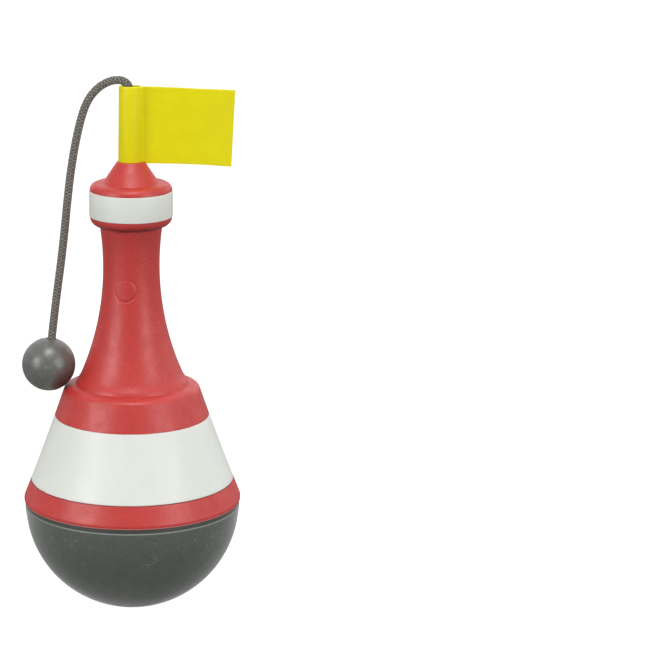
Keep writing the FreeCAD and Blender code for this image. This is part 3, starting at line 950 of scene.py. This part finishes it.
def bowl_outline():
    """Half ball with its foot, the ledge and lip at its rim, and the liner's seat."""
    inner = shell_radius - shell_wall
    foot_angle = -math.degrees(math.acos(foot_radius / shell_radius))
    below = shell_edge_drop + shell_edge_round
    edge_angle = -math.degrees(math.asin(below / shell_radius))
    outer = arc(0, shell_centre_z, shell_radius, foot_angle, edge_angle, bowl_rows)
    outer = [(r + flare(z), z) for r, z in outer]
    lip_inner = lip_radius - lip_wall
    channel_z = lip_top_z - channel_depth
    edge = arc(outer[-1][0] - shell_edge_round,
               edge_z - shell_edge_round, shell_edge_round, 0, 90, 6)[1:]
    lip = rounded([
        (lip_radius, edge_z),
        (lip_radius, lip_top_z, lip_round),
        (lip_inner, lip_top_z, lip_round),
        (lip_inner, channel_z),
        (liner_bore, channel_z),
        (liner_bore, seat_z),
    ], 4)
    seat_angle = math.degrees(math.asin((seat_z - shell_centre_z) / inner))
    pocket_angle = -math.degrees(math.acos(pocket_radius / inner))
    inside = arc(0, shell_centre_z, inner, seat_angle, pocket_angle, inner_rows)
    return ([(0, 0)] + outer + edge + lip + inside
            + [(pocket_radius, shell_floor), (0, shell_floor)])


def belly_rows(low, high, count=12):
    """Points of the belly between two heights, without the two ends."""
    heights = [low + (high - low) * k / (count + 1) for k in range(1, count + 1)]
    return [(belly_r(z), z) for z in heights]


def float_outline():
    """The red top: rim, belly cone with the band's recess, neck, collar and tip."""
    band_low = belly_band_low - fit_gap
    band_high = belly_band_high + fit_gap
    band_depth = band_thickness + fit_gap
    ring_low = collar_band_low - fit_gap
    ring_high = collar_band_high + fit_gap
    ring_r = collar_radius + band_proud - band_thickness - fit_gap
    roof_z = crease_z - body_wall
    flange_z = lip_top_z + rim_lip_thickness
    flange_top_z = flange_z + flange_groove_height
    lower = rounded([
        (rim_lip_inner, lip_top_z),
        (rim_radius - rim_skirt_taper, lip_top_z, rim_foot_round),
        (rim_radius, rim_z, rim_ridge_round),
        *belly_rows(rim_z + rim_ridge_round, band_low),
        (belly_r(band_low), band_low, recess_round),
        (belly_r(band_low) - band_depth, band_low),
        (belly_r(band_high) - band_depth, band_high),
        (belly_r(band_high), band_high, recess_round),
        *belly_rows(band_high, shoulder_z - shoulder_round),
        (shoulder_radius, shoulder_z, shoulder_round),
        ((shoulder_radius + neck_foot_radius) / 2, crease_z + 0.6 * crease_lift, ledge_round),
        (neck_foot_radius + ledge_reach, crease_z + crease_lift),
    ])
    heights = [crease_z + crease_lift + neck_clear]
    while heights[-1] < collar_z - last_row_gap:
        close = (abs(heights[-1] - mark_height) < mark_zone
                 or collar_z - heights[-1] < collar_zone or heights[-1] - crease_z < foot_zone)
        heights.append(heights[-1] + (fine_row if close else plain_row))
    neck = [(neck_r(z) + bead(z), z) for z in heights[:-1] + [collar_z]]
    upper = rounded([
        (neck_r(collar_z), collar_z),
        (collar_radius, collar_z, collar_foot_round),
        (collar_radius, ring_low, ring_recess_round),
        (ring_r, ring_low),
        (ring_r, ring_high),
        (collar_radius, ring_high, ring_recess_round),
        (collar_radius, collar_top_z, collar_top_round),
        (tip_foot_radius, collar_top_z, tip_foot_round),
        (tip_top_radius, tip_z, tip_edge_round),
        (cord_bore, tip_z),
        (cord_bore, crown_z),
        (hollow_top_radius, crown_z),
    ])[1:]
    hollow = [(neck_r(z, body_wall), z) for z in
              (collar_z + (roof_z - collar_z) * k / inner_rows for k in range(inner_rows + 1))]
    cone = [
        (belly_r(roof_z) - cone_wall, roof_z),
        (belly_r(flange_top_z) - cone_wall, flange_top_z),
        (flange_groove, flange_top_z),
        (flange_groove, flange_z),
        (rim_lip_inner, flange_z),
    ]
    return lower + neck + upper + hollow + cone


def belly_band_outline():
    """Section of the wide white band, flush with the belly."""
    low, high = belly_band_low + band_groove, belly_band_high
    return rounded([
        (belly_r(low) - band_thickness, low),
        (belly_r(low), low, band_foot_round),
        *belly_rows(low, high, 20),
        (belly_r(high), high, recess_round),
        (belly_r(high) - band_thickness, high),
    ], 3)


def collar_band_outline():
    """Section of the narrow white band, a little proud of the collar."""
    outer = collar_radius + band_proud
    return rounded([
        (outer - band_thickness, collar_band_low),
        (outer, collar_band_low, band_edge_round),
        (outer, collar_band_high, band_edge_round),
        (outer - band_thickness, collar_band_high),
    ], 4)


def move_out(vertex, distance):
    """Moves a vertex away from the toy's axis."""
    factor = 1 + distance / math.hypot(vertex.co.x, vertex.co.y)
    vertex.co.x *= factor
    vertex.co.y *= factor


def on_neck(vertex):
    """Whether a vertex lies on the outer face at the neck, not on the hollow's."""
    return math.hypot(vertex.co.x, vertex.co.y) >= neck_r(vertex.co.z) - skin_depth


def press_mark(mesh):
    """Presses a shallow ring into the front of the neck."""
    middle_r = neck_r(mark_height)
    middle = Vector((middle_r * math.cos(mark_angle), middle_r * math.sin(mark_angle),
                     mark_height))
    side = Vector((-math.sin(mark_angle), math.cos(mark_angle), 0))
    for vertex in mesh.verts:
        offset = vertex.co - middle
        if offset.length > 2 * mark_radius or not on_neck(vertex):
            continue
        out = math.hypot(offset.dot(side), offset.z)
        groove = math.exp(-((out - mark_radius) / mark_groove) ** 2)
        # Deepest towards the lower right, and nearly gone on the other side
        lower_right = (0.8 * offset.dot(side) - 0.6 * offset.z) / max(out, tiny)
        move_out(vertex, -mark_depth * groove * (0.55 + 0.45 * lower_right))


def raise_flash(mesh):
    """Raises a ragged thin ridge on the neck, just under the collar."""
    for vertex in mesh.verts:
        down = collar_z - vertex.co.z
        away = (math.atan2(vertex.co.y, vertex.co.x) - flash_angle) / flash_half_width
        if not 0 < down < flash_reach or abs(away) > 1 or not on_neck(vertex):
            continue
        # Two waves round the neck make its edge ragged
        ragged = 0.65 + 0.25 * math.sin(9 * away) + 0.2 * math.sin(23 * away + 1)
        middle = flash_drop + 0.25 * mm * math.sin(5 * away)
        ridge = math.exp(-((down - middle) / flash_thickness) ** 2) * (1 - away ** 2) ** 0.5
        move_out(vertex, flash_height * ragged * ridge)


def make_turned_pieces():
    """Bowl, red top and white bands."""
    around = even_angles(turned_steps)
    piece("bowl_shell", turned_mesh(bowl_outline(), around, False),
          bowl_rubber, "bowl", "shell_rubber", "lower_shell")
    around_mark = fine_angles(float_steps, mark_angle, mark_fine_half, mark_fine_step)
    body = turned_mesh(float_outline(), around_mark, True)
    press_mark(body)
    raise_flash(body)
    piece("float_top", body, red_rubber, "top", "red_rubber", "float_body")
    piece("belly_stripe", turned_mesh(belly_band_outline(), around, True),
          white_rubber, "top", "white_rubber", "belly_band")
    piece("collar_stripe", turned_mesh(collar_band_outline(), around, True),
          white_rubber, "top", "white_rubber", "collar_band")


def make_ball(cord_end):
    """Rubber ball with its moulding seam, turned about the cord's last direction."""
    axis = (cord_end - ball_centre).normalized()
    grown = ball_radius + ball_growth
    mouth_r = ball_hole + ball_mouth_round
    hole_angle = 90 - math.degrees(math.asin(mouth_r / ball_radius))
    outer = arc(0, 0, grown, -90, hole_angle, ball_rows)
    mouth_z = ball_radius * math.sin(math.radians(hole_angle))
    mouth = arc(mouth_r, mouth_z - ball_mouth_round, ball_mouth_round, 80, 180, 4)
    pocket_z = math.sqrt(ball_pocket ** 2 - ball_hole ** 2)
    pocket_angle = math.degrees(math.asin(pocket_z / ball_pocket))
    pocket = arc(0, 0, ball_pocket, pocket_angle, -90, pocket_rows)
    outline = ([(0.0, -grown)] + outer[1:] + mouth + [(ball_hole, pocket_z)] + pocket[:-1]
               + [(0.0, -ball_pocket)])
    half = [math.pi * k / ball_half_steps for k in range(1, ball_half_steps)]
    fine = [math.radians(degrees) for degrees in seam_steps]
    angles = sorted({ball_seam_angle + side + turn for side in (0.0, math.pi) for turn in
                     [0.0] + fine + [-step for step in fine] + half})
    mesh = turned_mesh(outline, angles, False)
    seam = Vector((-math.sin(ball_seam_angle), math.cos(ball_seam_angle), 0))
    for vertex in mesh.verts:
        if vertex.co.length > 0.9 * ball_radius:        # on the outer face
            away = vertex.co.dot(seam) / ball_seam_width
            vertex.co *= 1 + ball_seam_height / ball_radius * math.exp(-away ** 2)
    turn = UP.rotation_difference(axis).to_matrix().to_4x4()
    place = Matrix.Translation(ball_centre + ball_shift)
    bmesh.ops.transform(mesh, matrix=place @ turn, verts=mesh.verts)
    return piece("throw_ball", mesh, ball_rubber, "cord", "ball_rubber", "end_ball")


# Flag

def plate_y(x):
    """How far the flag's middle surface lies behind the axis at x."""
    share = max((x - flag_tube_radius) / (plate_reach - flag_tube_radius), 0.0)
    return plate_wave * math.sin(math.pi * share) - plate_curl * share ** 2


def plate_half(x):
    """Half the plate's thickness at x, swelling into the tube with a fillet."""
    half = plate_thickness / 2
    fillet_x = math.sqrt((flag_tube_radius + root_fillet) ** 2 - (half + root_fillet) ** 2)
    if x >= fillet_x:
        return half
    drop = min(fillet_x - x, 0.93 * root_fillet)
    return half + root_fillet - math.sqrt(root_fillet ** 2 - drop ** 2)


def plate_top(x):
    """Height of the plate's upper edge at x."""
    share = min(x / (plate_reach * plate_fall_share), 1.0)
    return flag_top_z - plate_top_drop - plate_top_fall * share


def plate_foot(x):
    """Height of the plate's lower edge at x. Over the tip it stays clear of it."""
    if x < plate_step:
        return tip_z + plate_clear
    share = x / (plate_reach - plate_heel)
    return tip_z - plate_foot_drop - plate_foot_fall * share


def plate_mesh():
    """Closed, waved sheet with softened edges, from inside the tube's wall to its free end."""
    end = plate_reach - plate_corner_round
    stations = [plate_root + fine_row * k for k in range(root_columns)]
    stations += [plate_step + 0.1 * mm]
    stations += [plate_main + (end - plate_main) * k / plate_columns
                 for k in range(plate_columns + 1)]
    stations += [end + plate_corner_round * math.sin(math.pi / 2 * k / corner_columns)
                 for k in range(1, corner_columns + 1)]
    mesh = bmesh.new()
    sides = []
    for side in (-1, 1):
        grid = []
        for x in stations:
            past = max(0.0, x - end) / plate_corner_round
            corner = plate_corner_round * (1 - math.sqrt(max(0.0, 1 - past ** 2)))
            low, high = plate_foot(x) + corner, plate_top(x) - corner
            column = []
            for k in range(plate_rows + 1):
                z = low + (high - low) * k / plate_rows
                lean = plate_heel * (1 - (z - tip_z) / (flag_top_z - tip_z)) * (x / plate_reach)
                column.append(mesh.verts.new((x - lean, plate_y(x) + side * plate_half(x), z)))
            grid.append(column)
        sides.append(grid)
        for first, second in zip(grid, grid[1:]):
            for k in range(plate_rows):
                mesh.faces.new((first[k], second[k], second[k + 1], first[k + 1]))
    front, rear = sides
    for i in range(len(stations) - 1):
        for k in (0, plate_rows):
            mesh.faces.new((front[i][k], front[i + 1][k], rear[i + 1][k], rear[i][k]))
    for i in (0, len(stations) - 1):
        for k in range(plate_rows):
            mesh.faces.new((front[i][k], front[i][k + 1], rear[i][k + 1], rear[i][k]))
    bmesh.ops.recalc_face_normals(mesh, faces=mesh.faces)
    rim = [e for e in mesh.edges if e.calc_face_angle(0) > rim_angle
           and min(v.co.x for v in e.verts) > plate_step + 0.2 * mm]
    bmesh.ops.bevel(mesh, geom=rim, offset=plate_edge_round, segments=3, profile=0.5,
                    affect="EDGES", clamp_overlap=True)
    return mesh


def tube_mesh():
    """Flag tube with its rounded mouth and the bore for the cord."""
    lip = flag_mouth_wall / 2
    mouth = flag_tube_radius - flag_mouth_wall
    outline = rounded([
        (cord_bore, tip_z),
        (flag_tube_radius, tip_z, flag_foot_round),
        (flag_tube_radius, flag_top_z - lip),
    ], 4)
    outline += arc(flag_tube_radius - lip, flag_top_z - lip, lip, 0, 180, 10)[1:]
    outline += [(mouth - funnel_inset, flag_top_z - funnel_drop),
                (cord_bore + funnel_foot_inset, flag_top_z - flag_mouth_depth + funnel_foot_rise),
                (cord_bore, flag_top_z - flag_mouth_depth)]
    mesh = turned_mesh(outline, even_angles(tube_steps), True)
    for vertex in mesh.verts:
        share = 1 - (flag_top_z - vertex.co.z) / mouth_slant_reach
        rear = (vertex.co.y / flag_tube_radius + 1) / 2
        vertex.co.z -= mouth_slant * max(share, 0.0) * rear
    return mesh


def joined_solid(first, second, name):
    """Mesh of two closed meshes made one by Blender's exact Boolean."""
    objects = []
    for label, mesh in (("_a", first), ("_b", second)):
        objects.append(new_object(name + label, mesh_data(name + label, mesh)))
    modifier = objects[0].modifiers.new("join", "BOOLEAN")
    modifier.operation = "UNION"
    modifier.solver = "EXACT"
    modifier.object = objects[1]
    union = evaluated_mesh(objects[0])
    joined = bmesh.new()
    joined.from_mesh(union)
    bpy.data.meshes.remove(union)
    for made in objects:
        bpy.data.objects.remove(made)
    return joined


def make_flag():
    """Flag and tube in one piece, leaning a little as in the photograph."""
    mesh = joined_solid(tube_mesh(), plate_mesh(), "flag_parts")
    for vertex in mesh.verts:
        share = (vertex.co.z - tip_z) / (flag_top_z - tip_z)
        vertex.co.x += flag_lean[0] + (flag_lean[1] - flag_lean[0]) * share
    piece("signal_flag", mesh, yellow_rubber, "flag", "yellow_rubber", "flag")


# CAD nodes that stay as they are, with their materials
inside_finishes = {
    "bowl_liner": light_plastic,
    "treat_container": light_plastic,
    "seal_ring": seal_rubber,
    "ballast_weight": ballast_steel,
    "knot_washer": washer_steel,
    "cord_core": knotted_cord,
    "neck_knot": knotted_cord,
    "ball_knot": knotted_cord,
}


def dress_cad_nodes():
    """Gives the CAD nodes that stay their materials."""
    for name, material in inside_finishes.items():
        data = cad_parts[name].data
        data.materials.clear()
        data.materials.append(material)


# Studio

def make_floor():
    """Pale floor that is seen from above only."""
    material, nodes, shader = new_material("studio_floor")
    material.node_tree.nodes.remove(shader)
    plain = nodes.out("ShaderNodeBsdfDiffuse", {
        "Color": (floor_grey, floor_grey, floor_grey, 1)})
    ray = nodes.add("ShaderNodeLightPath").outputs["Is Camera Ray"]
    glow = nodes.out("ShaderNodeEmission", {
        "Color": white, "Strength": nodes.ranged(ray, 0.0, 1.0, floor_light, floor_seen, "LINEAR")})
    both = nodes.out("ShaderNodeAddShader", {0: plain, 1: glow})
    clear = nodes.out("ShaderNodeBsdfTransparent")
    back = nodes.add("ShaderNodeNewGeometry").outputs["Backfacing"]
    seen = nodes.out("ShaderNodeMixShader", {0: back, 1: both, 2: clear})
    nodes.fill(material.node_tree.nodes["Material Output"], {"Surface": seen})
    mesh = bmesh.new()
    mesh.faces.new([mesh.verts.new((x * floor_half, y * floor_half, -floor_drop))
                    for x, y in ((-1, -1), (1, -1), (1, 1), (-1, 1))])
    data = mesh_data("studio_floor", mesh)
    data.materials.append(material)
    floor = new_object("studio_floor", data)


def soft_box(name, place, width, height, power):
    """Rectangular area light that faces the toy."""
    data = bpy.data.lights.new(name, "AREA")
    data.shape = "RECTANGLE"
    data.size = width
    data.size_y = height
    data.energy = power
    light = new_object(name, data)
    light.location = place
    light.rotation_euler = (Vector(light_aim) - Vector(place)).to_track_quat("-Z", "Y").to_euler()


def make_studio():
    """White backdrop, soft boxes, and a view without tone mapping."""
    world = bpy.data.worlds.new("studio_world")
    world.use_nodes = True
    nodes = Nodes(world.node_tree)
    world.node_tree.nodes.clear()
    ray = nodes.add("ShaderNodeLightPath").outputs["Is Camera Ray"]
    seen = nodes.out("ShaderNodeBackground", {"Color": white, "Strength": backdrop_seen})
    direction = nodes.add("ShaderNodeTexCoord").outputs["Generated"]
    ahead = nodes.add("ShaderNodeVectorMath", {
        0: direction, 1: backdrop_side}, operation="DOT_PRODUCT").outputs["Value"]
    felt = nodes.out("ShaderNodeBackground", {"Color": white, "Strength": nodes.ranged(
        ahead, -backdrop_spread, backdrop_spread, room_light, backdrop_light)})
    mixed = nodes.out("ShaderNodeMixShader", {0: ray, 1: felt, 2: seen})
    nodes.add("ShaderNodeOutputWorld", {"Surface": mixed})
    bpy.context.scene.world = world
    for name, box in soft_boxes.items():
        soft_box(name, *box)
    bpy.context.scene.view_settings.view_transform = "Standard"


make_camera()
cord_piece, cord_points = make_cord()
make_turned_pieces()
ball = make_ball(cord_points[-1])
make_flag()
dress_cad_nodes()
make_floor()
make_studio()
